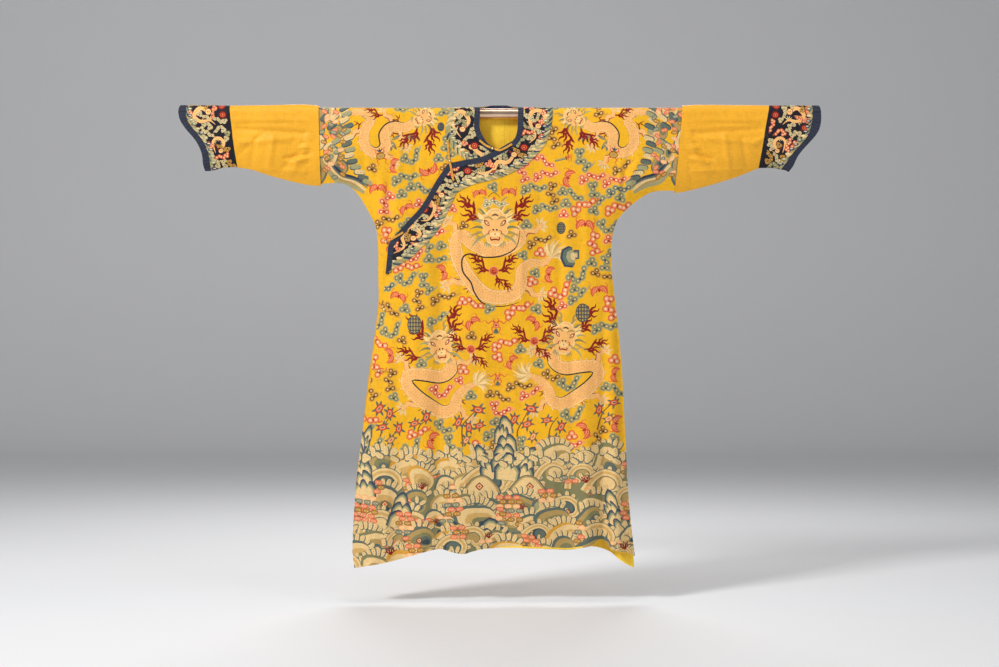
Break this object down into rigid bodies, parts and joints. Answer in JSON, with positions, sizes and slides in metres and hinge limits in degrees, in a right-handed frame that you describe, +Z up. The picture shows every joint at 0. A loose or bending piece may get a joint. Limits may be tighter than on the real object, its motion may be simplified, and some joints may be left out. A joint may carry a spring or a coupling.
{
  "type": "chinese dragon robe hanging on a rod",
  "caption": "Full-length wrap-over silk robe with horse-hoof cuffs, hung flat on a round rod that runs through its sleeves.",
  "frame": {"origin": "on the rod's axis, in the middle of the neck opening", "axes": "+X to the right as the front is seen (the wearer's left), +Y to the back of the robe, +Z up"},
  "size_m": [1.9666, 0.0959, 1.4257],
  "materials": {
    "silk": "woven and embroidered silk",
    "plain_silk": "plain silk with a soft sheen",
    "dark_silk": "dark ground silk with woven pattern",
    "binding_silk": "navy silk binding",
    "cord": "silk cord",
    "button_metal": "satin",
    "rod_metal": "satin"
  },
  "bodies": {
    "root": {"front_left": "silk", "front_overlap": "silk", "front_inner": "silk", "back_left": "silk", "back_right": "silk", "sleeve_left": "plain_silk", "sleeve_right": "plain_silk", "cuff_left": "dark_silk", "cuff_right": "dark_silk", "cuff_binding_left": "binding_silk", "cuff_binding_right": "binding_silk", "neckband_outer": "dark_silk", "neckband_inner": "dark_silk", "neckband_back": "dark_silk", "neck_binding_outer": "binding_silk", "neck_binding_inner": "binding_silk", "neck_binding_back": "binding_silk", "toggle_neck_tab": "cord", "toggle_neck_button": "button_metal", "toggle_neck_loop": "cord", "toggle_corner_tab": "cord", "toggle_corner_button": "button_metal", "toggle_corner_loop": "cord", "toggle_side_tab": "cord", "toggle_side_button": "button_metal", "toggle_side_loop": "cord", "toggle_hip_tab": "cord", "toggle_hip_button": "button_metal", "toggle_hip_loop": "cord", "toggle_vent_tab": "cord", "toggle_vent_button": "button_metal", "toggle_vent_loop": "cord", "hang_rod": "rod_metal"}
  },
  "joints": []
}
